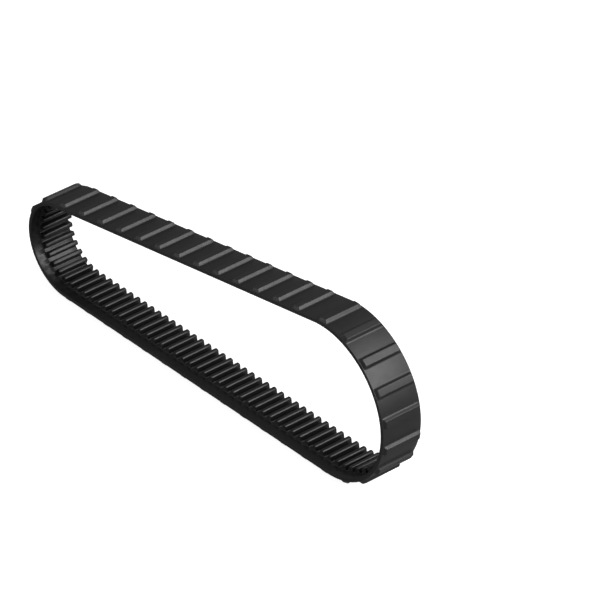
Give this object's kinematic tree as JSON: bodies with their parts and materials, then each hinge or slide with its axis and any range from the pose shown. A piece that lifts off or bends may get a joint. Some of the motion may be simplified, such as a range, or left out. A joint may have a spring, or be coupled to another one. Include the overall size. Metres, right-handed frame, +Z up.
{
  "type": "toothed rubber track",
  "caption": "Endless tapered rubber track with straight tread bars outside and fine straight drive teeth inside, beside a plain margin.",
  "frame": {"origin": "centre of the footprint's bounding box, on the ground under the lower run's tread bars", "axes": "+X along the level lower run from the small end to the large end, +Y across the belt from the plain margin to the toothed edge, +Z up"},
  "size_m": [0.3944, 0.0332, 0.1265],
  "materials": {
    "cover_rubber": "matte moulded",
    "tread_rubber": "satin moulded",
    "tooth_rubber": "matte moulded",
    "tension_cord": "twisted cord"
  },
  "bodies": {
    "loop": {"cover_loop": "cover_rubber", "cords_loop": "tension_cord", "tooth_band_loop": "tooth_rubber", "tread_bar_14": "tread_rubber", "tread_bar_15": "tread_rubber", "tread_bar_16": "tread_rubber", "tread_bar_17": "tread_rubber", "tread_bar_18": "tread_rubber", "tread_bar_19": "tread_rubber", "tread_bar_20": "tread_rubber", "tread_bar_21": "tread_rubber", "tread_bar_22": "tread_rubber", "tread_bar_23": "tread_rubber", "tread_bar_24": "tread_rubber", "tread_bar_25": "tread_rubber", "tread_bar_26": "tread_rubber", "tread_bar_27": "tread_rubber", "tread_bar_28": "tread_rubber", "tread_bar_29": "tread_rubber", "tread_bar_30": "tread_rubber", "tread_bar_31": "tread_rubber", "tread_bar_32": "tread_rubber", "tread_bar_33": "tread_rubber", "tread_bar_34": "tread_rubber", "tread_bar_35": "tread_rubber", "tread_bar_36": "tread_rubber", "tread_bar_37": "tread_rubber", "tread_bar_38": "tread_rubber", "tread_bar_39": "tread_rubber", "tread_bar_40": "tread_rubber", "tread_bar_41": "tread_rubber"},
    "run_a": {"cover_run_a": "cover_rubber", "cords_run_a": "tension_cord", "tooth_band_run_a": "tooth_rubber", "tread_bar_08": "tread_rubber", "tread_bar_09": "tread_rubber", "tread_bar_10": "tread_rubber", "tread_bar_11": "tread_rubber", "tread_bar_12": "tread_rubber", "tread_bar_13": "tread_rubber"},
    "run_b": {"cover_run_b": "cover_rubber", "cords_run_b": "tension_cord", "tooth_band_run_b": "tooth_rubber", "tread_bar_01": "tread_rubber", "tread_bar_02": "tread_rubber", "tread_bar_03": "tread_rubber", "tread_bar_04": "tread_rubber", "tread_bar_05": "tread_rubber", "tread_bar_06": "tread_rubber", "tread_bar_07": "tread_rubber"}
  },
  "joints": [
    {"name": "run_bow", "type": "hinge", "parent": "loop", "child": "run_a", "pos_m": [0.12365, 0, 0.12173], "axis": [0, -1, 0], "range_deg": [-2, 4], "stiffness_Nm_per_rad": 25},
    {"name": "mid_run_bend", "type": "hinge", "parent": "run_a", "child": "run_b", "pos_m": [-0.01858, 0, 0.09926], "axis": [0, -1, 0], "range_deg": [-8, 4]}
  ],
  "couplings": [
    {"joint": "mid_run_bend", "follows": "run_bow", "ratio": -2}
  ]
}
